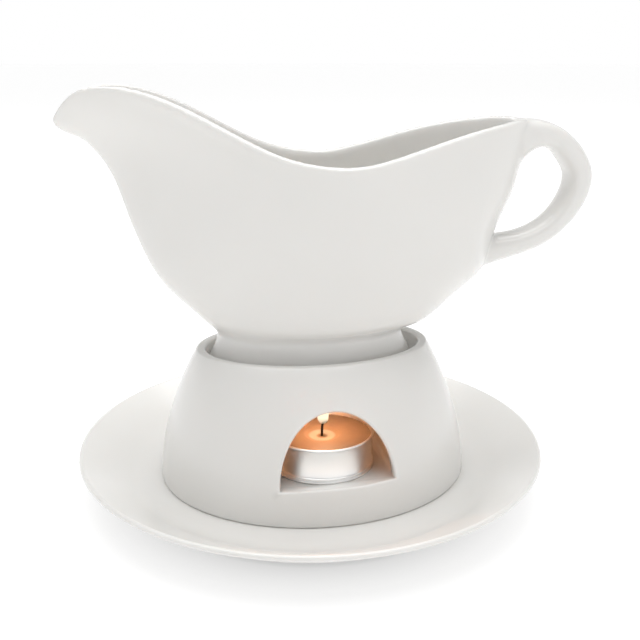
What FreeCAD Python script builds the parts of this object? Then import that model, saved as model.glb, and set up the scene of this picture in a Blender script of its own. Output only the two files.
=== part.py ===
import FreeCAD, Part
import math
import os
import Sketcher

# Gravy boat warmer: a porcelain gravy boat on an oval stand with a tea light inside, on a round saucer.
# Frame: origin on the saucer's axis where its foot ring rests, +X towards the handle, +Z up.
# The spout points to -X and the arched window of the stand faces -Y. Millimetres throughout.

doc = FreeCAD.newDocument("gravy_boat_warmer")
sheet = doc.addObject("Spreadsheet::Sheet", "dims")

SIZES = {
    # Saucer
    "well_margin": (7.4, "flat of the well round the stand"),
    "saucer_rim_width": (21.8, "how far the saucer's rim reaches beyond the well"),
    "saucer_rim_rise": (13.8, "rise of the rim above the well"),
    "rim_bend": (22.0, "radius of the bend between well and rim"),
    "saucer_wall": (3.6, "thickness of the saucer"),
    "ring_height": (1.9, "height of the foot ring"),
    "ring_width": (4.4, "width of the foot ring"),
    "ring_inset": (14.0, "foot ring inside the edge of the well"),
    "ring_round": (0.6, "rounding of the foot ring"),
    "saucer_edge_round": (1.4, "rounding of the saucer's edge"),
    # Stand, measured from the face it stands on
    "stand_rim_length": (44.2, "half length of the stand at its rim"),
    "stand_rim_width": (29.0, "half width of the stand at its rim"),
    "flare_length": (15.4, "how far the wall spreads from rim to base, lengthwise"),
    "flare_width": (23.0, "how far the wall spreads from rim to base, widthwise"),
    "stand_height": (50.4, "height of the stand"),
    "wall_bulge": (1.8, "exponent of the wall's outward curve"),
    "stand_wall": (4.0, "thickness of the stand's wall"),
    "chamber_floor": (12.3, "upper face of the raised floor"),
    "floor_thickness": (4.0, "thickness of the raised floor"),
    "rim_land": (3.2, "width of the stand's rim round the recess"),
    "recess_depth": (6.9, "depth of the recess for the boat's foot"),
    "ledge_thickness": (4.0, "thickness of the ledge under the foot"),
    "ledge_width": (6.7, "width of the ledge round the opening for the heat"),
    "window_half_width": (20.3, "half width of the window at its sill"),
    "window_head": (2.8, "wall between the window's top and the ledge"),
    "stand_rim_round": (1.1, "rounding of the stand's rim"),
    "window_round": (0.9, "rounding of the window's edge"),
    "base_round": (0.8, "rounding of the stand's standing edge"),
    # Gravy boat, measured from the bottom of its foot
    "foot_clearance": (1.8, "gap round the foot in the stand's recess"),
    "waist_draw": (4.0, "how far the foot draws in to its waist"),
    "waist_height": (12.2, "height of the waist, where the bowl starts"),
    "foot_wall": (4.4, "thickness of the foot"),
    "inside_floor": (17.0, "floor inside the bowl"),
    "bowl_floor": (4.6, "thickness of the bowl's floor"),
    "bowl_wall": (3.6, "thickness of the bowl"),
    "strap_width": (15.0, "width of the handle strap"),
    "strap_thickness": (9.2, "thickness of the handle strap"),
    # Tea light, measured from the stand's raised floor
    "tealight_inset": (6.2, "cup inside the stand's outer wall"),
    "cup_radius": (18.5, "outer radius of the cup's wall"),
    "cup_height": (13.2, "height of the cup"),
    "cup_wall": (0.4, "thickness of the cup's metal"),
    "cup_lip": (0.5, "how far the rolled lip stands out"),
    "lip_height": (0.9, "height of the rolled lip"),
    "lip_tuck": (0.4, "slope under the rolled lip and above it"),
    "bead_height": (1.2, "height of the bead round the cup's base"),
    "bead_tuck": (0.45, "slope under the bead and above it"),
    "wax_drop": (2.0, "wax below the cup's lip"),
    "pool_radius": (6.8, "radius of the melted hollow round the wick"),
    "pool_floor": (4.1, "radius of the hollow's flat bottom"),
    "pool_depth": (0.8, "depth of the melted hollow"),
    "wick_radius": (0.75, "radius of the wick"),
    "wick_rise": (2.2, "straight length of wick above the hollow"),
    "curl_radius": (3.6, "radius of the curl at the wick's top"),
    "curl_angle": (58.0, "angle of the curl in degrees"),
    "sustainer_radius": (6.5, "radius of the wick's metal disc"),
    "sustainer_thickness": (0.4, "thickness of the wick's metal disc"),
    "neck_radius": (1.25, "outer radius of the neck that grips the wick"),
    "neck_height": (4.0, "top of the neck above the cup's floor"),
}

# Plan of the bowl at several heights: height, spout end, handle end, half width, place of the widest line
BOWL_STATIONS = [
    (17.0, -38.6, 46.2, 25.2, 3.0),
    (26.5, -47.1, 61.4, 29.2, 6.0),
    (38.0, -55.9, 70.4, 31.2, 8.0),
    (51.0, -62.7, 74.0, 32.0, 9.0),
    (65.0, -67.1, 77.3, 31.7, 10.0),
    (79.0, -73.5, 80.3, 30.5, 10.0),
    (87.0, -81.7, 81.4, 29.9, 10.0),
    (92.5, -90.0, 81.8, 29.6, 10.0),
    (106.0, -92.5, 82.4, 29.2, 10.0),
]
STATION_FIELDS = ("height", "spout", "tail", "side", "widest")
# Share of the width that the spout loses at its end, station by station
PINCH_SHARES = (0.02, 0.10, 0.22, 0.36, 0.50, 0.59, 0.62, 0.62, 0.62)

# The boat's rim seen from the side, from in front of the spout's tip to behind the handle end
RIM_LINE = [
    ("rim_start", -98.0, 82.0),
    ("rim_tip", -90.2, 92.6),
    ("rim_crest", -68.0, 102.6),
    ("rim_fall", -33.0, 89.0),
    ("rim_saddle", 8.0, 76.4),
    ("rim_rise", 40.0, 83.3),
    ("rim_tail", 72.0, 89.6),
    ("rim_end", 100.0, 89.0),
]

# Strap of the handle: middle of each section along the boat and in height
STRAP_PATH = [
    ("root", 77.2, 80.1),
    ("neck", 83.4, 83.4),
    ("top", 89.6, 83.7),
    ("shoulder", 97.7, 78.5),
    ("far", 103.6, 69.0),
    ("elbow", 99.7, 55.9),
    ("heel", 88.7, 46.0),
    ("low", 76.4, 42.0),
    ("end", 67.4, 39.3),
]
# The strap's direction below level at those sections, in degrees, then its thickness and width as shares
STRAP_FORMS = [
    (10.8, 1.94, 1.17),
    (3.0, 1.36, 1.01),
    (14.0, 1.00, 0.93),
    (42.0, 1.00, 0.95),
    (86.0, 1.00, 1.00),
    (136.0, 0.95, 1.00),
    (155.0, 0.89, 1.00),
    (162.0, 0.98, 1.03),
    (206.0, 1.62, 1.08),
]

# Looseness with which an edge is found by where its middle lies
EDGE_SLACK = 0.05


def fill_sheet(entries):
    """Write each (alias, value, note) on a row of its own."""
    for row, (alias, value, note) in enumerate(entries, 1):
        sheet.set("A%d" % row, note)
        sheet.set("B%d" % row, str(value))
        sheet.setAlias("B%d" % row, alias)
    doc.recompute()


def all_entries():
    for alias, (value, note) in SIZES.items():
        yield alias, value, note
    for number, station in enumerate(BOWL_STATIONS, 1):
        for field, value in zip(STATION_FIELDS, station):
            yield "bowl_%s_%d" % (field, number), value, "bowl station %d, %s" % (number, field)
    for name, along, height in RIM_LINE:
        yield name + "_along", along, name.replace("_", " ") + ", along the boat"
        yield name + "_height", height, name.replace("_", " ") + ", height"
    for name, along, height in STRAP_PATH:
        yield "strap_%s_along" % name, along, "handle section %s, along the boat" % name
        yield "strap_%s_height" % name, height, "handle section %s, height" % name


def size(alias):
    return float(sheet.get(alias))


def plane_of(body, role):
    return [feature for feature in body.Origin.OriginFeatures if feature.Role == role][0]


def new_body(label):
    body = doc.addObject("PartDesign::Body", label)
    body.Label = label
    return body


def new_sketch(body, name, role):
    sketch = body.newObject("Sketcher::SketchObject", name)
    sketch.AttachmentSupport = (plane_of(body, role), [""])
    sketch.MapMode = "FlatFace"
    return sketch


def bound_profile(sketch, corners):
    """Draw a closed outline; each corner is a pair of sheet expressions, held by bound constraints."""
    values = [tuple(float(sketch.evalExpression(text)) for text in corner) for corner in corners]
    points = [FreeCAD.Vector(x, y, 0) for x, y in values]
    count = len(points)
    for number in range(count):
        sketch.addGeometry(Part.LineSegment(points[number], points[(number + 1) % count]), False)
    for number in range(count):
        sketch.addConstraint(Sketcher.Constraint("Coincident", number, 2, (number + 1) % count, 1))
    for number, (corner, value) in enumerate(zip(corners, values)):
        for kind, axis, text, coordinate in (("DistanceX", -2, corner[0], value[0]),
                                             ("DistanceY", -1, corner[1], value[1])):
            if text == "0":
                sketch.addConstraint(Sketcher.Constraint("PointOnObject", number, 1, axis))
                continue
            index = sketch.addConstraint(Sketcher.Constraint(kind, -1, 1, number, 1, coordinate))
            sketch.setExpression("Constraints[%d]" % index, text)


def revolve(body, sketch, name):
    turned = body.newObject("PartDesign::Revolution", name)
    turned.Profile = sketch
    turned.ReferenceAxis = (sketch, ["V_Axis"])
    turned.Angle = 360
    body.Tip = turned
    doc.recompute()
    return turned


def round_edges(body, base, name, radius_text, test):
    """Fillet the edges of the base feature whose middle point passes the test."""
    names = ["Edge%d" % number for number in edges_where(base.Shape, test)]
    fillet = body.newObject("PartDesign::Fillet", name)
    fillet.Base = (base, names)
    fillet.setExpression("Radius", radius_text)
    body.Tip = fillet
    doc.recompute()
    return fillet


def edges_where(shape, test):
    """Numbers of the shape's edges whose middle point passes the test."""
    chosen = []
    for number, edge in enumerate(shape.Edges, 1):
        middle = edge.valueAt((edge.FirstParameter + edge.LastParameter) / 2)
        if test(middle):
            chosen.append(number)
    return chosen


def closed_curve(points):
    """Smooth closed curve through points, with even knots so that a loft's sections match."""
    curve = Part.BSplineCurve()
    knots = [step / len(points) for step in range(len(points) + 1)]
    curve.interpolate(points, PeriodicFlag=True, Parameters=knots)
    return curve


def near(value, target, slack=EDGE_SLACK):
    return abs(value - target) < slack


def reach(point):
    """Distance of a point from the vertical axis."""
    return math.hypot(point.x, point.y)


fill_sheet(all_entries())

# Saucer: a profile turned about the axis, with a foot ring under the flat well
WELL_TOP = "dims.ring_height + dims.saucer_wall"
WELL_EDGE = "dims.stand_rim_length + dims.flare_length + dims.well_margin"
SAUCER_EDGE = "%s + dims.saucer_rim_width" % WELL_EDGE
RING_EDGE = "%s - dims.ring_inset" % WELL_EDGE
saucer = new_body("saucer")
profile = new_sketch(saucer, "saucer_profile", "XZ_Plane")
bound_profile(profile, [
    ("0", WELL_TOP),
    (WELL_EDGE, WELL_TOP),
    (SAUCER_EDGE, "%s + dims.saucer_rim_rise" % WELL_TOP),
    (SAUCER_EDGE, "dims.ring_height + dims.saucer_rim_rise"),
    (WELL_EDGE, "dims.ring_height"),
    (RING_EDGE, "dims.ring_height"),
    (RING_EDGE, "0"),
    ("%s - dims.ring_width" % RING_EDGE, "0"),
    ("%s - dims.ring_width" % RING_EDGE, "dims.ring_height"),
    ("0", "dims.ring_height"),
])
turned = revolve(saucer, profile, "saucer_turned")
well_edge, saucer_edge = (float(profile.evalExpression(text)) for text in (WELL_EDGE, SAUCER_EDGE))
bent = round_edges(saucer, turned, "saucer_bend", "dims.rim_bend",
                   lambda point: near(reach(point), well_edge))
edged = round_edges(saucer, bent, "saucer_edge", "dims.saucer_edge_round",
                    lambda point: near(reach(point), saucer_edge))
round_edges(saucer, edged, "saucer_ring_edge", "dims.ring_round", lambda point: near(point.z, 0))

# Stand: oval sections that follow one wall curve, then the hollows and the window are cut out of it
SHARES_OF_WALL = (0, 0.2, 0.4, 0.6, 0.8, 0.92, 1)
SHARES_OF_CHAMBER = (0, 0.35, 0.7, 1)
CUT_OVERRUN = 1.0
WALL_SLACK = 0.03


def wall_text(axis, height_text, inset_text="0"):
    """Half size of the stand along an axis, length or width, at a height, less an inset."""
    spread = "1 - pow(({0}) / dims.stand_height; dims.wall_bulge)".format(height_text)
    return "dims.stand_rim_{0} + dims.flare_{0} * ({1}) - ({2})".format(axis, spread, inset_text)


def oval(name, length_text, width_text, height_text):
    ellipse = doc.addObject("Part::Ellipse", name)
    ellipse.setExpression("MajorRadius", length_text)
    ellipse.setExpression("MinorRadius", width_text)
    ellipse.setExpression("Placement.Base.z", height_text)
    return ellipse


def wall_oval(name, height_text, inset_text="0"):
    return oval(name, wall_text("length", height_text, inset_text),
                wall_text("width", height_text, inset_text), height_text)


def loft(name, sections):
    lofted = doc.addObject("Part::Loft", name)
    lofted.Sections = sections
    lofted.Solid = True
    return lofted


LEDGE = "dims.stand_height - dims.recess_depth"
CHAMBER_TOP = "%s - dims.ledge_thickness" % LEDGE
RECESS = ["dims.stand_rim_%s - dims.rim_land" % axis for axis in ("length", "width")]
FLUE = ["%s - dims.ledge_width" % text for text in RECESS]
blank = loft("stand_blank", [
    wall_oval("stand_oval_%d" % number, "%g * dims.stand_height" % share)
    for number, share in enumerate(SHARES_OF_WALL)])
chamber = loft("stand_chamber", [
    wall_oval("chamber_oval_%d" % number,
              "dims.chamber_floor + %g * (%s - dims.chamber_floor)" % (share, CHAMBER_TOP),
              "dims.stand_wall")
    for number, share in enumerate(SHARES_OF_CHAMBER)])
recess = loft("stand_recess", [oval("recess_oval_low", *RECESS, LEDGE),
                               oval("recess_oval_high", *RECESS, "dims.stand_height + %g" % CUT_OVERRUN)])
flue = loft("stand_flue", [oval("flue_oval_low", *FLUE, "%s - %g" % (CHAMBER_TOP, CUT_OVERRUN)),
                           oval("flue_oval_high", *FLUE, "%s + %g" % (LEDGE, CUT_OVERRUN))])
underside = loft("stand_underside", [
    oval("underside_oval_low", wall_text("length", "0", "dims.stand_wall"),
         wall_text("width", "0", "dims.stand_wall"), "-%g" % CUT_OVERRUN),
    wall_oval("underside_oval_high", "dims.chamber_floor - dims.floor_thickness", "dims.stand_wall")])

window_outline = doc.addObject("Sketcher::SketchObject", "window_outline")
window_outline.Placement.Rotation = FreeCAD.Rotation(FreeCAD.Vector(1, 0, 0), 90)
half_width, sill = size("window_half_width"), size("chamber_floor")
rise = float(window_outline.evalExpression("%s - dims.chamber_floor - dims.window_head" % CHAMBER_TOP))
ARCH_POINTS = 13
arch_points = [FreeCAD.Vector(half_width * math.cos(angle), sill + rise * math.sin(angle), 0)
               for angle in (math.pi * step / (ARCH_POINTS - 1) for step in range(ARCH_POINTS))]
arch = Part.BSplineCurve()
arch.interpolate(arch_points)
window_outline.addGeometry(arch, False)
window_outline.addGeometry(Part.LineSegment(arch_points[-1], arch_points[0]), False)
window = doc.addObject("Part::Extrusion", "stand_window")
window.Base = window_outline
window.DirMode = "Custom"
window.Dir = FreeCAD.Vector(0, -1, 0)
window.Solid = True
window.setExpression("LengthFwd", "dims.stand_rim_width + dims.flare_width + %g" % CUT_OVERRUN)

hollows = doc.addObject("Part::MultiFuse", "stand_hollows")
hollows.Shapes = [chamber, recess, flue, underside, window]
hollowed = doc.addObject("Part::Cut", "stand_hollowed")
hollowed.Base = blank
hollowed.Tool = hollows
doc.recompute()


def on_outer_wall(point):
    """True where a point lies on the stand's outer wall curve."""
    spread = 1 - (max(point.z, 0) / size("stand_height")) ** size("wall_bulge")
    along = size("stand_rim_length") + size("flare_length") * spread
    across = size("stand_rim_width") + size("flare_width") * spread
    return near(math.hypot(point.x / along, point.y / across), 1, WALL_SLACK)


def on_window_edge(point):
    return point.y < 0 and sill - EDGE_SLACK < point.z < sill + rise + EDGE_SLACK and on_outer_wall(point)


STAND_ROUNDS = (
    ("stand_rim_round", lambda point: near(point.z, size("stand_height"))),
    ("base_round", lambda point: near(point.z, 0)),
    ("window_round", on_window_edge),
)
stand = doc.addObject("Part::Fillet", "warmer_stand")
stand.Label = "warmer_stand"
stand.Base = hollowed
stand.Edges = [(number, size(alias), size(alias)) for alias, test in STAND_ROUNDS
               for number in edges_where(hollowed.Shape, test)]
stand.setExpression("Placement.Base.z", WELL_TOP)
doc.recompute()

# Gravy boat: closed curves lead from the foot up the outside, over the rim and down to the inner floor
AROUND = 32
OUTSIDE_SHARES = (0.05, 0.12, 0.2, 0.3, 0.42, 0.55, 0.68, 0.8, 0.9, 0.97)
INSIDE_SHARES = (0.96, 0.88, 0.77, 0.64, 0.5, 0.37, 0.25, 0.15, 0.07, 0)
RIM_ANGLES = (0, 30, 60, 90, 120, 150, 180)
# Foot: share of the climb to the waist, and share of the draw from the standing edge to the waist
FOOT_SHARES = ((0, 0), (0.16, 0.05), (0.42, 0.36), (0.7, 0.78), (1, 1))
# Share of the wall's thickness over which its lean is measured
LEAN_STEP = 0.14
RIM_SEARCHES = 40
stations = range(1, len(BOWL_STATIONS) + 1)


def line_through(pairs):
    """Smooth graph through (place, value) pairs, to be read at any place between the first and the last."""
    graph = Part.BSplineCurve()
    graph.interpolate([FreeCAD.Vector(place, value, 0) for place, value in pairs],
                      Parameters=[place for place, value in pairs])
    return graph


def read(graph, place):
    return graph.value(min(max(place, graph.FirstParameter), graph.LastParameter)).y


foot_size = [float(sheet.evalExpression("%s - dims.foot_clearance" % text)) for text in RECESS]
plan = {field: [] for field in STATION_FIELDS[1:] + ("pinch",)}
for climb, draw in FOOT_SHARES:
    foot_height = climb * size("waist_height")
    half_length, half_side = (half - draw * size("waist_draw") for half in foot_size)
    for field, value in zip(plan, (-half_length, half_length, half_side, 0, 0)):
        plan[field].append((foot_height, value))
for number, pinch in zip(stations, PINCH_SHARES):
    station_height = size("bowl_height_%d" % number)
    for field in STATION_FIELDS[1:]:
        plan[field].append((station_height, size("bowl_%s_%d" % (field, number))))
    plan["pinch"].append((station_height, pinch))
plan = {field: line_through(pairs) for field, pairs in plan.items()}
rim_line = line_through([(size(name + "_along"), size(name + "_height")) for name, *rest in RIM_LINE])


def wall_inset(field, height):
    """Level distance that gives the bowl's wall its thickness where the side leans."""
    step = LEAN_STEP * size("bowl_wall")
    lean = (read(plan[field], height + step) - read(plan[field], height - step)) / (2 * step)
    return size("bowl_wall") * math.hypot(1, lean)


def wall_point(angle, height, hollow):
    """Point of the bowl's outer or inner wall at an angle round its oval plan, narrowed to the spout."""
    spout, tail, side = (read(plan[field], height) for field in ("spout", "tail", "side"))
    if hollow:
        spout += wall_inset("spout", height)
        tail -= wall_inset("tail", height)
        side -= wall_inset("side", height)
    widest = read(plan["widest"], height)
    along = math.cos(angle)
    narrowing = 1 - read(plan["pinch"], height) * along * along if along < 0 else 1
    stretch = tail - widest if along > 0 else widest - spout
    return FreeCAD.Vector(widest + stretch * along, side * math.sin(angle) * narrowing, height)


def rim_height(angle, hollow):
    """Height at which the wall meets the rim line."""
    low, high = size("bowl_height_3"), size("bowl_height_9")
    for search in range(RIM_SEARCHES):
        middle = (low + high) / 2
        if middle < read(rim_line, wall_point(angle, middle, hollow).x):
            low = middle
        else:
            high = middle
    return low


def wall_profile(angle):
    """Points up the outside, over the rim and down the inside, at one angle round the plan."""
    rim_radius = size("bowl_wall") / 2
    outer_top, inner_top = (rim_height(angle, hollow) - rim_radius for hollow in (False, True))
    points = [wall_point(angle, climb * size("waist_height"), False) for climb, draw in FOOT_SHARES]
    points += [wall_point(angle, size("waist_height") + share * (outer_top - size("waist_height")), False)
               for share in OUTSIDE_SHARES]
    outer, inner = wall_point(angle, outer_top, False), wall_point(angle, inner_top, True)
    across = (outer - inner) * 0.5
    level = FreeCAD.Vector(across).normalize()
    up = (FreeCAD.Vector(0, 0, 1) - level * level.z).normalize()
    for turn in RIM_ANGLES:
        points.append((outer + inner) * 0.5 + across * math.cos(math.radians(turn))
                      + up * (rim_radius * math.sin(math.radians(turn))))
    points += [wall_point(angle, size("inside_floor") + share * (inner_top - size("inside_floor")), True)
               for share in INSIDE_SHARES]
    return points


profiles = [wall_profile(2 * math.pi * step / AROUND) for step in range(AROUND)]
rings = []
for number, points in enumerate(zip(*profiles), 1):
    ring = doc.addObject("Part::Feature", "wall_ring_%d" % number)
    ring.Shape = Part.Wire([closed_curve(points).toShape()])
    rings.append(ring)
bowl = loft("bowl_with_foot", rings)

FOOT_INSIDE = ["%s - dims.foot_clearance - dims.foot_wall" % text for text in RECESS]
WAIST_INSIDE = ["%s - dims.waist_draw" % text for text in FOOT_INSIDE]
foot_hollow = loft("foot_hollow", [
    oval("hollow_oval_low", *FOOT_INSIDE, "-%g" % CUT_OVERRUN),
    oval("hollow_oval_high", *WAIST_INSIDE, "dims.inside_floor - dims.bowl_floor")])

# Handle: an ear-shaped strap lofted through rounded sections that stand square to it
STRAP_POINTS = 16
STRAP_SQUARENESS = 2.6


def strap_section(name, turn, thick_share, wide_share):
    """A rounded oblong, thick across the strap and wide along Y, on its own turned plane."""
    section = doc.addObject("Sketcher::SketchObject", "strap_" + name)
    section.Placement.Rotation = FreeCAD.Rotation(FreeCAD.Vector(0, 1, 0), 90 + turn)
    section.setExpression("Placement.Base.x", "dims.strap_%s_along" % name)
    section.setExpression("Placement.Base.z", "dims.strap_%s_height" % name)
    thick = thick_share * size("strap_thickness") / 2
    wide = wide_share * size("strap_width") / 2
    points = []
    for step in range(STRAP_POINTS):
        angle = 2 * math.pi * step / STRAP_POINTS
        across = math.copysign(abs(math.cos(angle)) ** (2 / STRAP_SQUARENESS), math.cos(angle))
        along = math.copysign(abs(math.sin(angle)) ** (2 / STRAP_SQUARENESS), math.sin(angle))
        points.append(FreeCAD.Vector(thick * across, wide * along, 0))
    section.addGeometry(closed_curve(points), False)
    return section


handle = loft("handle", [strap_section(name, *form)
                         for (name, *rest), form in zip(STRAP_PATH, STRAP_FORMS)])
joined = doc.addObject("Part::MultiFuse", "boat_joined")
joined.Shapes = [bowl, handle]
boat = doc.addObject("Part::Cut", "gravy_boat")
boat.Label = "gravy_boat"
boat.Base = joined
boat.Tool = foot_hollow
boat.setExpression("Placement.Base.z", "%s + %s" % (WELL_TOP, LEDGE))
doc.recompute()

# Tea light: a drawn metal cup filled with wax, with a wick held by a disc on the cup's floor
CUP_BOTTOM = "%s + dims.chamber_floor" % WELL_TOP
CUP_MIDDLE = "dims.tealight_inset + dims.cup_radius - (%s)" % wall_text("width", "dims.chamber_floor")
CUP_OUTSIDE = "dims.cup_radius - dims.cup_wall / 2"
CUP_INSIDE = "%s - dims.cup_wall" % CUP_OUTSIDE


def seat_tealight(body):
    body.setExpression("Placement.Base.y", CUP_MIDDLE)
    body.setExpression("Placement.Base.z", CUP_BOTTOM)


cup = new_body("tealight_cup")
profile = new_sketch(cup, "cup_profile", "XZ_Plane")
bound_profile(profile, [
    ("0", "0"),
    ("dims.cup_radius - dims.bead_tuck", "0"),
    ("dims.cup_radius", "dims.bead_tuck"),
    ("dims.cup_radius", "dims.bead_height"),
    (CUP_OUTSIDE, "dims.bead_height + dims.bead_tuck"),
    (CUP_OUTSIDE, "dims.cup_height - dims.lip_height - dims.lip_tuck"),
    ("dims.cup_radius + dims.cup_lip", "dims.cup_height - dims.lip_height"),
    ("dims.cup_radius + dims.cup_lip", "dims.cup_height - dims.lip_tuck"),
    ("dims.cup_radius + dims.cup_lip - dims.lip_tuck", "dims.cup_height"),
    (CUP_INSIDE, "dims.cup_height"),
    (CUP_INSIDE, "dims.cup_wall"),
    ("0", "dims.cup_wall"),
])
revolve(cup, profile, "cup_turned")
seat_tealight(cup)

WAX_TOP = "dims.cup_height - dims.wax_drop"
DISC_TOP = "dims.cup_wall + dims.sustainer_thickness"
NECK_TOP = "dims.cup_wall + dims.neck_height"
wax = new_body("tealight_wax")
profile = new_sketch(wax, "wax_profile", "XZ_Plane")
bound_profile(profile, [
    ("dims.sustainer_radius", "dims.cup_wall"),
    (CUP_INSIDE, "dims.cup_wall"),
    (CUP_INSIDE, WAX_TOP),
    ("dims.pool_radius", WAX_TOP),
    ("dims.pool_floor", "%s - dims.pool_depth" % WAX_TOP),
    ("dims.wick_radius", "%s - dims.pool_depth" % WAX_TOP),
    ("dims.wick_radius", NECK_TOP),
    ("dims.neck_radius", NECK_TOP),
    ("dims.neck_radius", DISC_TOP),
    ("dims.sustainer_radius", DISC_TOP),
])
revolve(wax, profile, "wax_turned")
seat_tealight(wax)

sustainer = new_body("wick_sustainer")
profile = new_sketch(sustainer, "sustainer_profile", "XZ_Plane")
bound_profile(profile, [
    ("0", "dims.cup_wall"),
    ("dims.sustainer_radius", "dims.cup_wall"),
    ("dims.sustainer_radius", DISC_TOP),
    ("dims.neck_radius", DISC_TOP),
    ("dims.neck_radius", NECK_TOP),
    ("dims.wick_radius", NECK_TOP),
    ("dims.wick_radius", DISC_TOP),
    ("0", DISC_TOP),
])
revolve(sustainer, profile, "sustainer_turned")
seat_tealight(sustainer)

wick = new_body("tealight_wick")
section = new_sketch(wick, "wick_section", "XY_Plane")
section.addGeometry(Part.Circle(FreeCAD.Vector(0, 0, 0), FreeCAD.Vector(0, 0, 1), size("wick_radius")), False)
section.addConstraint(Sketcher.Constraint("Coincident", 0, 3, -1, 1))
section.addConstraint(Sketcher.Constraint("Radius", 0, size("wick_radius")))
section.setExpression("Constraints[1]", "dims.wick_radius")
section.setExpression("AttachmentOffset.Base.z", DISC_TOP)
path = new_sketch(wick, "wick_path", "XZ_Plane")
wick_foot = size("cup_wall") + size("sustainer_thickness")
curl_start = float(path.evalExpression("%s - dims.pool_depth + dims.wick_rise" % WAX_TOP))
curl_middle = FreeCAD.Vector(size("curl_radius"), curl_start, 0)
path.addGeometry(Part.LineSegment(FreeCAD.Vector(0, wick_foot, 0), FreeCAD.Vector(0, curl_start, 0)), False)
path.addGeometry(Part.ArcOfCircle(Part.Circle(curl_middle, FreeCAD.Vector(0, 0, 1), size("curl_radius")),
                                  math.pi - math.radians(size("curl_angle")), math.pi), False)
swept = wick.newObject("PartDesign::AdditivePipe", "wick_swept")
swept.Profile = section
swept.Spine = path
wick.Tip = swept
seat_tealight(wick)
doc.recompute()

parts = (saucer, stand, boat, cup, wax, sustainer, wick)
for item in doc.Objects:
    if "Invalid" in item.State or "Error" in item.State:
        raise RuntimeError("%s did not build: %s" % (item.Name, item.State))
for part in parts:
    if part.Shape.isNull() or not part.Shape.isValid() or len(part.Shape.Solids) != 1:
        raise RuntimeError("%s is not one valid solid" % part.Label)

os.makedirs("parts", exist_ok=True)
for part in parts:
    part.Shape.exportStep("parts/%s.step" % part.Label)
    print("%-16s %9.1f mm3" % (part.Label, part.Shape.Volume))
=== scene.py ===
import math

import bmesh
import bpy
from bpy.props import FloatProperty, FloatVectorProperty, PointerProperty
from mathutils import Matrix, Vector


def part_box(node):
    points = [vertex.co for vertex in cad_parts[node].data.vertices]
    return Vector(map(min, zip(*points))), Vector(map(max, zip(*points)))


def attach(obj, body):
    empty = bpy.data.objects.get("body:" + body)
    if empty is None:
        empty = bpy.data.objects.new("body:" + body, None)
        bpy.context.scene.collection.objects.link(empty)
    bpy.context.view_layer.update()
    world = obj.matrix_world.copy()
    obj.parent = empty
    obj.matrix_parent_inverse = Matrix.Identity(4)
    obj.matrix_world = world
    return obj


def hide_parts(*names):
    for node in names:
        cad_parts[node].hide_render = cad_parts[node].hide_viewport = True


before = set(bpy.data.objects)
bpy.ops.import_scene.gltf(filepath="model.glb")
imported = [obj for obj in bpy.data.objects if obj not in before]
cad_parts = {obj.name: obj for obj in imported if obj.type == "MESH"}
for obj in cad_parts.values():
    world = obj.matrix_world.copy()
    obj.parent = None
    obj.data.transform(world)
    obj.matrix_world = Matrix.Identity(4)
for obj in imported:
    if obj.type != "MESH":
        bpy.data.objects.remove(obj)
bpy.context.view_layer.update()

bl_info = {
    "name": "Gravy Boat Warmer",
    "version": (1, 0, 0),
    "blender": (4, 5, 0),
    "location": "3D View > Sidebar > Warmer",
    "description": "Porcelain gravy boat on a tea light stand and a saucer",
    "category": "Add Mesh",
}

MM = 0.001
MERGE = 1e-6
SHARP_ANGLE = math.radians(38)

# Steps round the saucer, the tea light and the flame, and along the arcs of the saucer's profile
SAUCER_STEPS, CUP_STEPS, FLAME_STEPS = 192, 128, 48
BEND_STEPS, LIP_STEPS, RING_STEPS = 14, 16, 5

WICK_LOW, WICK_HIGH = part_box("tealight_wick")
CUP_LOW, CUP_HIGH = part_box("tealight_cup")
WAX_LOW, WAX_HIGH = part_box("tealight_wax")
CUP_MIDDLE = (CUP_LOW + CUP_HIGH) / 2
SOLID_WICK_RADIUS = 0.75 * MM
WICK_BASE = (WICK_LOW.x + SOLID_WICK_RADIUS, (WICK_LOW.y + WICK_HIGH.y) / 2)


# Sizes and finishes

class PorcelainFinish(bpy.types.PropertyGroup):
    body: FloatVectorProperty(
        name="Body", description="Colour of the fired body under the glaze",
        subtype="COLOR", size=3, min=0, max=1, default=(0.78, 0.77, 0.746))
    glaze_roughness: FloatProperty(
        name="Glaze roughness", description="How softly the glaze reflects",
        default=0.16, min=0, max=1, subtype="FACTOR")
    grain: FloatProperty(
        name="Grain", description="Distance between the faint dimples in the glaze",
        default=0.004, min=0.001, unit="LENGTH")


class SaucerSizes(bpy.types.PropertyGroup):
    radius: FloatProperty(
        name="Radius", description="Outer radius", default=88.8 * MM, unit="LENGTH")
    well: FloatProperty(
        name="Well", description="Radius of the flat well", default=67.0 * MM, unit="LENGTH")
    wall: FloatProperty(
        name="Wall", description="Thickness of the saucer", default=3.6 * MM, unit="LENGTH")
    ring_height: FloatProperty(
        name="Foot ring height", description="Height of the foot ring",
        default=1.9 * MM, unit="LENGTH")
    ring_radius: FloatProperty(
        name="Foot ring", description="Outer radius of the foot ring",
        default=53.0 * MM, unit="LENGTH")
    ring_width: FloatProperty(
        name="Foot ring width", description="Width of the foot ring",
        default=4.4 * MM, unit="LENGTH")
    ring_round: FloatProperty(
        name="Foot ring rounding", description="Rounding of the foot ring's edges",
        default=0.7 * MM, unit="LENGTH")
    rise: FloatProperty(
        name="Rise", description="Rise of the rim above the well",
        default=12.9 * MM, unit="LENGTH")
    bend: FloatProperty(
        name="Bend", description="Radius of the bend between well and rim",
        default=22.0 * MM, unit="LENGTH")
    edge_round: FloatProperty(
        name="Edge rounding", description="Rounding of the rim's edge",
        default=1.0 * MM, unit="LENGTH")


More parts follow.
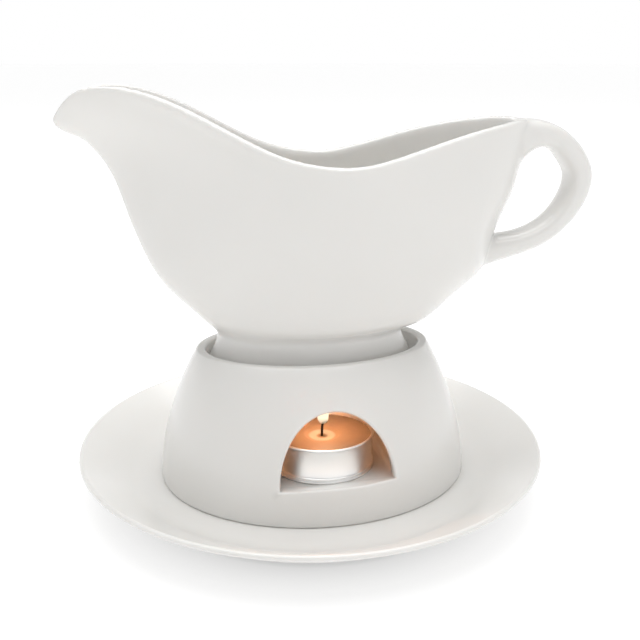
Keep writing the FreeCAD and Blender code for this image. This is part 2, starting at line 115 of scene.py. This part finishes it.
class StandSizes(bpy.types.PropertyGroup):
    turn: FloatProperty(
        name="Turn", description="How far the stand was set down turned on the saucer",
        default=math.radians(1.2), subtype="ANGLE")
    slip: FloatProperty(
        name="Slip", description="How far the stand was set down towards the handle",
        default=1.1 * MM, unit="LENGTH")
    sill: FloatProperty(
        name="Sill", description="How far the window's sill is built up",
        default=1.5 * MM, unit="LENGTH")


class BoatSizes(bpy.types.PropertyGroup):
    cell: FloatProperty(
        name="Cell", description="Edge of the even cells the boat's skin is drawn with",
        default=0.98 * MM, min=0.3 * MM, unit="LENGTH")


class TealightFinish(bpy.types.PropertyGroup):
    cup_radius: FloatProperty(
        name="Cup radius", description="Radius of the cup's wall",
        default=18.5 * MM, unit="LENGTH")
    foil: FloatProperty(
        name="Foil", description="Thickness of the cup's foil", default=0.35 * MM, unit="LENGTH")
    wick_radius: FloatProperty(
        name="Wick radius", description="Radius of the burnt wick",
        default=0.46 * MM, unit="LENGTH")
    metal: FloatVectorProperty(
        name="Metal", description="Colour of the cup",
        subtype="COLOR", size=3, min=0, max=1, default=(0.95, 0.945, 0.935))
    metal_roughness: FloatProperty(
        name="Metal roughness", description="How softly the cup reflects",
        default=0.3, min=0, max=1, subtype="FACTOR")
    wax: FloatVectorProperty(
        name="Wax", description="Colour of the wax",
        subtype="COLOR", size=3, min=0, max=1, default=(0.25, 0.2, 0.15))
    # Pale ring of painted sheen on the melted wax round the wick
    pool: FloatVectorProperty(
        name="Melted wax", description="Colour of the pool round the wick",
        subtype="COLOR", size=3, min=0, max=1, default=(0.34, 0.38, 0.37))


class FlameSettings(bpy.types.PropertyGroup):
    height: FloatProperty(
        name="Height", description="Height of the flame", default=14.0 * MM, unit="LENGTH")
    radius: FloatProperty(
        name="Radius", description="Radius of the flame", default=2.1 * MM, unit="LENGTH")
    fade: FloatProperty(
        name="Fade", description="Height over which the flame's foot grows visible",
        default=3.0 * MM, unit="LENGTH")
    body: FloatVectorProperty(
        name="Body", description="Colour of the flame",
        subtype="COLOR", size=3, min=0, max=1, default=(1.0, 0.85, 0.62))
    strength: FloatProperty(
        name="Strength", description="How bright the flame looks", default=1.25, min=0)
    cast: FloatVectorProperty(
        name="Cast", description="Colour of the light the flame casts",
        subtype="COLOR", size=3, min=0, max=1, default=(1.0, 0.44, 0.2))
    glow: FloatProperty(
        name="Glow", description="Power of the light the flame casts",
        default=0.029, min=0, unit="POWER")


class StageSettings(bpy.types.PropertyGroup):
    floor: FloatVectorProperty(
        name="Floor", description="Colour of the floor",
        subtype="COLOR", size=3, min=0, max=1, default=(0.3, 0.3, 0.3))
    # Strength of the floor's glow, which round the saucer is painted down into a painted shadow
    table: FloatProperty(
        name="Table", description="Strength of the light that comes up through the table",
        default=0.82, min=0)
    reach: FloatProperty(
        name="Reach", description="Radius of the floor", default=15.0, min=1, unit="LENGTH")
    fill: FloatProperty(
        name="Fill", description="Strength of the even light from all round",
        default=0.4, min=0)
    key: FloatProperty(
        name="Key", description="Power of the front light", default=1.3, min=0, unit="POWER")
    top: FloatProperty(
        name="Top", description="Power of the overhead light", default=24.5, min=0, unit="POWER")
    focal_length: FloatProperty(
        name="Focal length", description="Focal length in millimetres", default=48.656, min=1)


# Meshes and objects

def add_object(name, mesh, material):
    """Make a smooth object of a bmesh."""
    data = bpy.data.meshes.new(name)
    mesh.to_mesh(data)
    mesh.free()
    data.shade_smooth()
    data.materials.append(material)
    made = bpy.data.objects.new(name, data)
    bpy.context.scene.collection.objects.link(made)
    return made


def add_piece(name, mesh, material, slot, *nodes):
    """Make a piece that rides on the one body and stands for its nodes."""
    piece = add_object(name, mesh, material)
    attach(piece, "root")
    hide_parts(*nodes)
    return piece


def arc(centre, radius, start, end, steps):
    """Points on an arc in the plane of a profile, angles in degrees."""
    points = []
    for step in range(steps + 1):
        angle = math.radians(start + (end - start) * step / steps)
        points.append((centre[0] + radius * math.cos(angle),
                       centre[1] + radius * math.sin(angle)))
    return points


def in_metres(points, origin):
    """Points given in mm from an origin."""
    return [(origin[0] + across * MM, origin[1] + up * MM) for across, up in points]


def spun(profile, steps, middle=(0, 0)):
    """Turn a profile of (radius, height) pairs about an upright axis."""
    mesh = bmesh.new()
    points = [mesh.verts.new((radius, 0, height)) for radius, height in profile]
    edges = [mesh.edges.new(pair) for pair in zip(points, points[1:])]
    bmesh.ops.spin(mesh, geom=points + edges, cent=(0, 0, 0), axis=(0, 0, 1), dvec=(0, 0, 0),
                   angle=2 * math.pi, steps=steps, use_merge=True, use_duplicate=False)
    bmesh.ops.remove_doubles(mesh, verts=mesh.verts, dist=MERGE)
    bmesh.ops.translate(mesh, verts=mesh.verts, vec=(middle[0], middle[1], 0))
    bmesh.ops.recalc_face_normals(mesh, faces=mesh.faces)
    return mesh


def skin_of(node):
    """A node's form as one closed skin."""
    mesh = bmesh.new()
    mesh.from_mesh(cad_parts[node].data)
    bmesh.ops.remove_doubles(mesh, verts=mesh.verts, dist=MERGE)
    return mesh


def drawn(name, data, cell=0):
    """What Blender draws of a curve or mesh. With a cell size, the skin is drawn in even cells."""
    holder = bpy.data.objects.new(name, data)
    bpy.context.scene.collection.objects.link(holder)
    if cell:
        cells = holder.modifiers.new("cells", "REMESH")
        cells.mode = "VOXEL"
        cells.voxel_size = cell
    graph = bpy.context.evaluated_depsgraph_get()
    shown = bpy.data.meshes.new_from_object(holder.evaluated_get(graph))
    bpy.data.objects.remove(holder)
    if not shown.polygons:
        raise RuntimeError(name + " has come out without faces")
    mesh = bmesh.new()
    mesh.from_mesh(shown)
    bpy.data.meshes.remove(shown)
    return mesh


def away(point, centre, reach):
    """How far a point lies from a centre: 1 is the edge of an egg shape. Both are given in mm."""
    parts = zip(point, centre, reach)
    return Vector([(part / MM - middle) / far for part, middle, far in parts]).length


def ease(mesh, centre, reach, shift):
    """Push the skin at a place by a shift that fades out over a reach, all in mm."""
    for vert in mesh.verts:
        share = 1 - away(vert.co, centre, reach)
        if share > 0:
            vert.co += Vector(shift) * MM * share * share * (3 - 2 * share)


def sponge(mesh, centre, reach, passes):
    """Smooth the skin at a place as a wet sponge does before firing."""
    damp = [vert for vert in mesh.verts if away(vert.co, centre, reach) < 1]
    for _ in range(passes):
        bmesh.ops.smooth_vert(mesh, verts=damp, factor=0.5,
                              use_axis_x=True, use_axis_y=True, use_axis_z=True)


# Materials

def colour(values):
    """A colour with full alpha."""
    return (values[0], values[1], values[2], 1)


def scaled_brightness(values, share):
    return [min(1, part * share) for part in values]


def set_inputs(node, values):
    for name, value in values.items():
        node.inputs[name].default_value = value


def node_of(tree, kind, inputs=None, **values):
    """Add a node, set its inputs by their names and its other values."""
    made = tree.nodes.new(kind)
    set_inputs(made, inputs or {})
    for name, value in values.items():
        setattr(made, name, value)
    return made


def noise(tree, scale, detail=2.0):
    return node_of(tree, "ShaderNodeTexNoise", {"Scale": scale, "Detail": detail})


def bump_of(tree, strength, distance):
    return node_of(tree, "ShaderNodeBump", {"Strength": strength, "Distance": distance})


def between(tree, low, high):
    """A node that spreads a value from 0 to 1 over low to high."""
    return node_of(tree, "ShaderNodeMapRange", {"To Min": low, "To Max": high})


def link(tree, *pairs):
    for source, target in pairs:
        tree.links.new(source, target)


def ramp_by_distance(tree, point, reach, stops):
    """Colours by the distance from an upright axis, as shares of a reach."""
    length = node_of(tree, "ShaderNodeVectorMath", operation="LENGTH")
    share = node_of(tree, "ShaderNodeMath", operation="DIVIDE")
    share.inputs[1].default_value = reach
    ramp = node_of(tree, "ShaderNodeValToRGB")
    elements = ramp.color_ramp.elements
    while len(elements) < len(stops):
        elements.new(0.5)
    for element, (position, tint) in zip(elements, stops):
        element.position = position
        element.color = colour(tint)
    link(tree, (point, length.inputs[0]),
         (length.outputs["Value"], share.inputs[0]),
         (share.outputs["Value"], ramp.inputs["Fac"]))
    return ramp.outputs["Color"]


def new_material(name):
    """A material, its node tree, its shader and the object's own coordinates."""
    material = bpy.data.materials.new(name)
    material.use_nodes = True
    tree = material.node_tree
    place = node_of(tree, "ShaderNodeTexCoord").outputs["Object"]
    return material, tree, tree.nodes["Principled BSDF"], place


def porcelain():
    """Clear glaze over a warm white body, with a slow drift of tone and faint dimples."""
    if "glazed_porcelain" in bpy.data.materials:
        return bpy.data.materials["glazed_porcelain"]
    finish = bpy.context.scene.porcelain_finish
    material, tree, shader, place = new_material("glazed_porcelain")
    drift = noise(tree, 22.0)
    dimples = noise(tree, 1 / finish.grain)
    tone = node_of(tree, "ShaderNodeValToRGB")
    dull, bright = tone.color_ramp.elements
    dull.position, dull.color = 0.3, colour(scaled_brightness(finish.body, 0.985))
    bright.position, bright.color = 0.7, colour(scaled_brightness(finish.body, 1.012))
    bump = bump_of(tree, 0.04, 0.4 * MM)
    link(tree, (place, drift.inputs["Vector"]),
         (place, dimples.inputs["Vector"]),
         (drift.outputs["Fac"], tone.inputs["Fac"]),
         (tone.outputs["Color"], shader.inputs["Base Color"]),
         (dimples.outputs["Fac"], bump.inputs["Height"]),
         (bump.outputs["Normal"], shader.inputs["Normal"]))
    set_inputs(shader, {"Roughness": 0.42, "IOR": 1.5, "Coat Weight": 0.7,
                        "Coat Roughness": finish.glaze_roughness, "Subsurface Weight": 0.12,
                        "Subsurface Radius": (0.004, 0.0034, 0.003), "Subsurface Scale": 1.0})
    return material


def cup_metal():
    """Bright foil with fine marks that run up the wall, as the die leaves them."""
    finish = bpy.context.scene.tealight_finish
    material, tree, shader, place = new_material("drawn_foil")
    centred = node_of(tree, "ShaderNodeMapping",
                      {"Location": (-CUP_MIDDLE.x, -CUP_MIDDLE.y, -CUP_LOW.z)})
    stretched = node_of(tree, "ShaderNodeMapping", {"Scale": (1.0, 1.0, 0.04)})
    marks = noise(tree, 900.0, 3.0)
    bump = bump_of(tree, 0.12, 0.2 * MM)
    rough = between(tree, finish.metal_roughness * 0.8, finish.metal_roughness * 1.3)
    link(tree, (place, centred.inputs["Vector"]),
         (centred.outputs["Vector"], stretched.inputs["Vector"]),
         (stretched.outputs["Vector"], marks.inputs["Vector"]),
         (marks.outputs["Fac"], bump.inputs["Height"]),
         (marks.outputs["Fac"], rough.inputs["Value"]),
         (rough.outputs["Result"], shader.inputs["Roughness"]),
         (bump.outputs["Normal"], shader.inputs["Normal"]))
    set_inputs(shader, {"Base Color": colour(finish.metal), "Metallic": 1.0})
    return material


def wax_finish():
    """Dark warm wax, darker right at the wick, with a painted sheen as a pale ring where it has
    melted round the wick, painted light just outside that and painted shade deepening towards the
    cup's wall.
    """
    finish = bpy.context.scene.tealight_finish
    wax, pool = finish.wax, finish.pool
    material, tree, shader, place = new_material("candle_wax")
    centred = node_of(tree, "ShaderNodeMapping",
                      {"Location": (-WICK_BASE[0], -WICK_BASE[1], 0), "Scale": (1, 1, 0)})
    # Painted sheen on the melted wax round the wick, painted light just outside it and painted
    # shade towards the cup's wall
    painted_light_rings = ramp_by_distance(tree, centred.outputs["Vector"], WAX_HIGH.x - WAX_LOW.x, (
        (0.0, scaled_brightness(wax, 0.7)), (0.045, scaled_brightness(wax, 0.95)), (0.065, pool), (0.12, pool),
        (0.145, scaled_brightness(wax, 1.04)), (0.36, wax), (0.5, scaled_brightness(wax, 0.72))))
    cloud = noise(tree, 260.0, 3.0)
    drift = between(tree, 0.92, 1.08)
    tone = node_of(tree, "ShaderNodeVectorMath", operation="SCALE")
    bump = bump_of(tree, 0.08, 0.3 * MM)
    link(tree, (place, centred.inputs["Vector"]),
         (place, cloud.inputs["Vector"]),
         (cloud.outputs["Fac"], drift.inputs["Value"]),
         (painted_light_rings, tone.inputs[0]),
         (drift.outputs["Result"], tone.inputs["Scale"]),
         (tone.outputs["Vector"], shader.inputs["Base Color"]),
         (cloud.outputs["Fac"], bump.inputs["Height"]),
         (bump.outputs["Normal"], shader.inputs["Normal"]))
    set_inputs(shader, {"Roughness": 0.38, "Subsurface Weight": 0.3,
                        "Subsurface Radius": (0.004, 0.002, 0.001)})
    return material


def charred_wick():
    """Black, dull braid."""
    material, tree, shader, place = new_material("charred_wick")
    braid = node_of(tree, "ShaderNodeTexWave", {"Scale": 700.0, "Distortion": 2.0})
    bump = bump_of(tree, 0.5, 0.3 * MM)
    link(tree, (place, braid.inputs["Vector"]),
         (braid.outputs["Fac"], bump.inputs["Height"]),
         (bump.outputs["Normal"], shader.inputs["Normal"]))
    set_inputs(shader, {"Base Color": (0.006, 0.005, 0.005, 1), "Roughness": 0.8})
    return material


def tinned_disc():
    """Grey tinned steel of the sustainer."""
    material, tree, shader, place = new_material("tinned_disc")
    marks = noise(tree, 1500.0)
    rough = between(tree, 0.25, 0.4)
    link(tree, (place, marks.inputs["Vector"]),
         (marks.outputs["Fac"], rough.inputs["Value"]),
         (rough.outputs["Result"], shader.inputs["Roughness"]))
    set_inputs(shader, {"Base Color": (0.6, 0.6, 0.6, 1), "Metallic": 1.0})
    return material


def flame_glow(foot):
    """A flame that is clear at its foot and glows above it."""
    flame = bpy.context.scene.flame_settings
    material, tree, shader, place = new_material("flame_glow")
    tree.nodes.remove(shader)
    split = node_of(tree, "ShaderNodeSeparateXYZ")
    rise = node_of(tree, "ShaderNodeMapRange", {"From Min": foot, "From Max": foot + flame.fade})
    clear = node_of(tree, "ShaderNodeBsdfTransparent")
    glow = node_of(tree, "ShaderNodeEmission",
                   {"Strength": flame.strength, "Color": colour(flame.body)})
    mix = node_of(tree, "ShaderNodeMixShader")
    link(tree, (place, split.inputs["Vector"]),
         (split.outputs["Z"], rise.inputs["Value"]),
         (rise.outputs["Result"], mix.inputs["Fac"]),
         (clear.outputs["BSDF"], mix.inputs[1]),
         (glow.outputs["Emission"], mix.inputs[2]),
         (mix.outputs["Shader"], tree.nodes["Material Output"].inputs["Surface"]))
    return material


# Pieces

class MakeSaucer(bpy.types.Operator):
    """Turn the saucer with its well, flaring rim and foot ring"""
    bl_idname = "warmer.make_saucer"
    bl_label = "Saucer"

    def execute(self, context):
        sizes = context.scene.saucer_sizes
        under = sizes.ring_height
        top = under + sizes.wall
        slope = math.atan2(sizes.rise, sizes.radius - sizes.well)
        degrees = math.degrees(slope)
        bend, lip = sizes.bend, sizes.edge_round
        bend_from = sizes.well - bend * math.tan(slope / 2)
        lip_height = top + sizes.rise - lip * math.tan((math.pi / 2 + slope) / 2)
        profile = [(0, top)]
        profile += arc((bend_from, top + bend), bend, -90, degrees - 90, BEND_STEPS)
        profile += arc((sizes.radius - lip, lip_height), lip, degrees + 90, degrees - 90, LIP_STEPS)
        profile += arc((bend_from, under + bend), bend, degrees - 90, -90, BEND_STEPS)
        soft = sizes.ring_round
        outer, inner = sizes.ring_radius, sizes.ring_radius - sizes.ring_width
        profile += [(outer + soft, under)]
        profile += arc((outer - soft, soft), soft, 0, -90, RING_STEPS)
        profile += arc((inner + soft, soft), soft, -90, -180, RING_STEPS)
        profile += [(inner - soft, under), (0, under)]
        add_piece("porcelain_saucer", spun(profile, SAUCER_STEPS), porcelain(), "porcelain",
                  "saucer")
        return {"FINISHED"}


# Where the window's sill was built up: middle and reach in mm, and for its crown the shift too
SILL = ((10, -51, 17.8), (75, 7, 6))
SILL_CROWN = ((23, -48, 18), (18, 8, 8), (0, 0, 1.2))


class MakeStand(bpy.types.Operator):
    """Draw the oval stand with its arched window, raised floor and ledge"""
    bl_idname = "warmer.make_stand"
    bl_label = "Stand"

    def execute(self, context):
        sizes = context.scene.stand_sizes
        mesh = skin_of("warmer_stand")
        ease(mesh, *SILL, (0, 0, sizes.sill / MM))
        ease(mesh, *SILL_CROWN)
        bmesh.ops.rotate(mesh, verts=mesh.verts, cent=(0, 0, 0),
                         matrix=Matrix.Rotation(sizes.turn, 3, "Z"))
        bmesh.ops.translate(mesh, verts=mesh.verts, vec=(sizes.slip, 0, 0))
        stand = add_piece("porcelain_stand", mesh, porcelain(), "porcelain", "warmer_stand")
        stand.data.set_sharp_from_angle(angle=SHARP_ANGLE)
        return {"FINISHED"}


# Where the boat's form was pressed and swelled by hand: middle, reach and shift in mm
BOAT_TOUCHES = (
    ((68, -2, 96), (16, 36, 22), (-4.0, 0, 0)),
    ((56, -8, 72), (24, 40, 20), (-2.3, 0, 2.1)),
    ((-54, -8, 82), (22, 40, 22), (-1.3, 0, -0.8)),
    ((-85, -2, 138), (10, 14, 9), (0, 0, -1.9)),
)

# Where the handle's joints were sponged smooth: middle and reach in mm, and passes
BOAT_SPONGED = (
    ((92, 0, 114), (30, 24, 29), 5),
    ((88, 0, 116), (24, 22, 25), 5),
    ((84, 0, 118), (18, 20, 21), 5),
    ((82, 0, 122), (13, 18, 16), 6),
    ((81, 0, 128), (9, 16, 11), 8),
)


class MakeBoat(bpy.types.Operator):
    """Draw the gravy boat with its spout, rounded rim, foot and ear handle"""
    bl_idname = "warmer.make_boat"
    bl_label = "Gravy boat"

    def execute(self, context):
        mesh = skin_of("gravy_boat")
        for touch in BOAT_TOUCHES:
            ease(mesh, *touch)
        skin = bpy.data.meshes.new("boat_skin")
        mesh.to_mesh(skin)
        mesh.free()
        mesh = drawn("boat_skin", skin, context.scene.boat_sizes.cell)
        for place in BOAT_SPONGED:
            sponge(mesh, *place)
        add_piece("porcelain_boat", mesh, porcelain(), "porcelain", "gravy_boat")
        return {"FINISHED"}


# The cup's outer profile in mm: the foot from the wall's radius and the base, with a bend and a
# bead, and the rolled lip from the wall's radius and the height of the roll's middle
CUP_FOOT = (arc((-0.35, 0.65), 0.65, -90, 60, 8) + arc((-0.25, 1.75), 0.45, -60, 70, 6)
            + [(-0.3, 2.5)])
CUP_LIP = [(-0.25, -0.9)] + arc((0.05, 0), 0.43, -80, 170, 10)
LIP_DROP = 0.45 * MM

# The wax from its middle outwards and down from the brim, in mm: a hollow melted round the wick
WAX_TOP = ((0, -0.95), (3.0, -0.9), (5.0, -0.62), (6.2, -0.2), (6.9, -0.08), (8.5, -0.16),
           (12.5, -0.2), (16.0, -0.12))

# The curl of the wick's burnt top, along and down from its tip in mm
WICK_CURL = ((0, -7.0), (0, -3.4), (0.15, -1.4), (0.75, -0.55))


class MakeTealight(bpy.types.Operator):
    """Turn the tea light's cup and wax, and curl its wick"""
    bl_idname = "warmer.make_tealight"
    bl_label = "Tea light"

    def execute(self, context):
        finish = context.scene.tealight_finish
        low, foil, radius = CUP_LOW.z, finish.foil, finish.cup_radius
        middle = (CUP_MIDDLE.x, CUP_MIDDLE.y)
        inside = radius - 0.3 * MM - foil
        lip = CUP_HIGH.z - LIP_DROP
        profile = [(0, low)]
        profile += in_metres(CUP_FOOT, (radius, low)) + in_metres(CUP_LIP, (radius, lip))
        profile += [(inside, lip - 0.75 * MM), (inside, low + foil), (0, low + foil)]
        add_piece("foil_cup", spun(profile, CUP_STEPS, middle), cup_metal(), "cup_metal",
                  "tealight_cup")

        brim, rim = WAX_HIGH.z, inside - 0.05 * MM
        base = low + foil + 0.05 * MM
        profile = in_metres(WAX_TOP, (0, brim))
        profile += [(rim - 0.5 * MM, brim - 0.02 * MM), (rim, brim), (rim, base), (0, base)]
        add_piece("poured_wax", spun(profile, CUP_STEPS, middle), wax_finish(), "wax",
                  "tealight_wax")

        self.curl_wick(finish.wick_radius)
        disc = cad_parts["wick_sustainer"]
        disc.data.materials.clear()
        disc.data.materials.append(tinned_disc())
        return {"FINISHED"}

    def curl_wick(self, radius):
        """Draw the wick as a round line, upright in the wax and curled over at its top."""
        line = bpy.data.curves.new("wick_line", "CURVE")
        line.dimensions = "3D"
        line.bevel_depth = radius
        line.bevel_resolution = 4
        line.use_fill_caps = True
        x, y = WICK_BASE
        tip = WICK_HIGH.z
        bent = [(x, WICK_LOW.z)] + in_metres(WICK_CURL, (x, tip))
        bent += [(WICK_HIGH.x - 0.2 * MM, tip - 0.5 * MM)]
        spline = line.splines.new("NURBS")
        spline.points.add(len(bent) - 1)
        for point, (along, height) in zip(spline.points, bent):
            point.co = (along, y, height, 1)
        spline.order_u = 3
        spline.use_endpoint_u = True
        mesh = drawn("wick_line", line)
        bmesh.ops.remove_doubles(mesh, verts=mesh.verts, dist=MERGE)
        bmesh.ops.recalc_face_normals(mesh, faces=mesh.faces)
        add_piece("burnt_wick", mesh, charred_wick(), "wick", "tealight_wick")


# The flame's form as shares of its radius and height, and its foot's place from the wick's tip
FLAME_FORM = ((0, 0), (0.6, 0.03), (0.92, 0.12), (1, 0.25), (0.86, 0.5), (0.52, 0.75),
              (0.18, 0.93), (0, 1))
FLAME_ALONG, FLAME_DOWN = 0.35 * MM, 1.2 * MM
GLOW_RISE, GLOW_RADIUS = 11.0 * MM, 2.5 * MM


class MakeFlame(bpy.types.Operator):
    """Shape the flame and its light"""
    bl_idname = "warmer.make_flame"
    bl_label = "Flame"

    def execute(self, context):
        sizes = context.scene.flame_settings
        foot = Vector((WICK_BASE[0] + FLAME_ALONG, WICK_BASE[1], WICK_HIGH.z - FLAME_DOWN))
        profile = [(across * sizes.radius, foot.z + up * sizes.height) for across, up in FLAME_FORM]
        flame = add_object("flame", spun(profile, FLAME_STEPS, foot), flame_glow(foot.z))
        flame.visible_shadow = False
        lamp = bpy.data.lights.new("flame_light", "POINT")
        lamp.energy = sizes.glow
        lamp.color = sizes.cast
        lamp.shadow_soft_size = GLOW_RADIUS
        light = bpy.data.objects.new("flame_light", lamp)
        light.location = foot + Vector((0, 0, GLOW_RISE))
        context.scene.collection.objects.link(light)
        return {"FINISHED"}


# Stage, in metres. The floor glows with the table's light, which is painted out under the saucer
# and fades in out to
# LIT_REACH as a painted shadow round it, and the world is bright at the horizon, then falls to the
# fill, with one side a little brighter
FLOOR_SEGMENTS = 96
LIT_REACH = 0.15
GLOW_AND_PAINTED_SHADOW_STOPS = ((0.37, 0.0), (0.45, 0.66), (0.54, 0.84), (0.68, 0.97), (0.8, 1.0))
HORIZON_TOP, HORIZON_END = 0.12, 0.3
SIDE_SWING = 0.15
LIGHTS_AIM = (0, 0, 0.05)
KEY_PLACE, KEY_SIZE = (0.4, -1.3, 0.6), (1.2, 0.9)
TOP_PLACE, TOP_SIZE = (0.0, 0.15, 1.5), (1.6, 1.6)
CAMERA_PLACE = (-51.53 * MM, -310.51 * MM, 161.42 * MM)
CAMERA_AHEAD = (0.16768, 0.94091, -0.29422)
SENSOR_WIDTH = 36.0
CLIP_START, CLIP_END = 0.01, 50.0


def facing(direction):
    """The turn that points a lamp or camera along a direction."""
    return Vector(direction).to_track_quat("-Z", "Y").to_euler()


def soft_light(name, place, size, energy):
    lamp = bpy.data.lights.new(name, "AREA")
    lamp.shape = "RECTANGLE"
    lamp.size, lamp.size_y = size
    lamp.energy = energy
    light = bpy.data.objects.new(name, lamp)
    light.location = place
    light.rotation_euler = facing(Vector(LIGHTS_AIM) - Vector(place))
    bpy.context.scene.collection.objects.link(light)


def pale_floor(stage):
    """A pale floor that glows as if lit from below, with a painted shadow: dark where the saucer
    stands on it, the glow fading in round it.
    """
    material, tree, shader, place = new_material("pale_floor")
    # Painted shadow: the floor's glow is black under the saucer and fades in round it
    stops = [(position, (share, share, share)) for position, share in GLOW_AND_PAINTED_SHADOW_STOPS]
    lit = ramp_by_distance(tree, place, LIT_REACH, stops)
    link(tree, (lit, shader.inputs["Emission Color"]))
    set_inputs(shader, {"Emission Strength": stage.table, "Base Color": colour(stage.floor),
                        "Roughness": 0.7, "Specular IOR Level": 0.2})
    return material


def studio_world(fill):
    """Even white light from all round."""
    world = bpy.data.worlds.new("studio")
    world.use_nodes = True
    tree = world.node_tree
    place = node_of(tree, "ShaderNodeTexCoord")
    split = node_of(tree, "ShaderNodeSeparateXYZ")
    side = between(tree, fill * (1 - SIDE_SWING), fill * (1 + SIDE_SWING))
    set_inputs(side, {"From Min": -1.0})
    band = node_of(tree, "ShaderNodeMapRange",
                   {"From Min": HORIZON_TOP, "From Max": HORIZON_END, "To Min": 1.0})
    background = tree.nodes["Background"]
    link(tree, (place.outputs["Generated"], split.inputs["Vector"]),
         (split.outputs["X"], side.inputs["Value"]),
         (split.outputs["Z"], band.inputs["Value"]),
         (side.outputs["Result"], band.inputs["To Max"]),
         (band.outputs["Result"], background.inputs["Strength"]))
    set_inputs(background, {"Color": (1, 1, 1, 1)})
    return world


class MakeStage(bpy.types.Operator):
    """Lay the floor, hang the lights and place the camera"""
    bl_idname = "warmer.make_stage"
    bl_label = "Stage"

    def execute(self, context):
        scene = context.scene
        stage = scene.stage_settings
        mesh = bmesh.new()
        bmesh.ops.create_circle(mesh, cap_ends=True, segments=FLOOR_SEGMENTS, radius=stage.reach)
        floor = add_object("floor", mesh, pale_floor(stage))

        scene.view_settings.view_transform = "Standard"
        scene.world = studio_world(stage.fill)
        soft_light("key", KEY_PLACE, KEY_SIZE, stage.key)
        soft_light("top", TOP_PLACE, TOP_SIZE, stage.top)

        camera = bpy.data.cameras.new("camera")
        camera.lens = stage.focal_length
        camera.sensor_width = SENSOR_WIDTH
        camera.clip_start, camera.clip_end = CLIP_START, CLIP_END
        view = bpy.data.objects.new("camera", camera)
        view.location = CAMERA_PLACE
        view.rotation_euler = facing(CAMERA_AHEAD)
        scene.collection.objects.link(view)
        scene.camera = view
        return {"FINISHED"}


class WarmerPanel(bpy.types.Panel):
    bl_label = "Gravy boat warmer"
    bl_idname = "VIEW3D_PT_warmer"
    bl_space_type = "VIEW_3D"
    bl_region_type = "UI"
    bl_category = "Warmer"

    def draw(self, context):
        for group, operators in PANEL_ROWS:
            box = self.layout.box()
            for name in GROUPS[group].__annotations__:
                box.prop(getattr(context.scene, group), name)
            for operator in operators:
                box.operator(operator.bl_idname)


GROUPS = {
    "porcelain_finish": PorcelainFinish,
    "saucer_sizes": SaucerSizes,
    "stand_sizes": StandSizes,
    "boat_sizes": BoatSizes,
    "tealight_finish": TealightFinish,
    "flame_settings": FlameSettings,
    "stage_settings": StageSettings,
}
OPERATORS = (MakeSaucer, MakeStand, MakeBoat, MakeTealight, MakeFlame, MakeStage)
PANEL_ROWS = (
    ("porcelain_finish", ()),
    ("saucer_sizes", (MakeSaucer,)),
    ("stand_sizes", (MakeStand,)),
    ("boat_sizes", (MakeBoat,)),
    ("tealight_finish", (MakeTealight,)),
    ("flame_settings", (MakeFlame,)),
    ("stage_settings", (MakeStage,)),
)
CLASSES = tuple(GROUPS.values()) + OPERATORS + (WarmerPanel,)


def register():
    for cls in CLASSES:
        bpy.utils.register_class(cls)
    for name, group in GROUPS.items():
        setattr(bpy.types.Scene, name, PointerProperty(type=group))


def unregister():
    for name in GROUPS:
        delattr(bpy.types.Scene, name)
    for cls in reversed(CLASSES):
        bpy.utils.unregister_class(cls)


def main():
    register()
    bpy.ops.warmer.make_saucer()
    bpy.ops.warmer.make_stand()
    bpy.ops.warmer.make_boat()
    bpy.ops.warmer.make_tealight()
    bpy.ops.warmer.make_flame()
    bpy.ops.warmer.make_stage()
    bpy.context.view_layer.update()


if __name__ == "__main__":
    main()
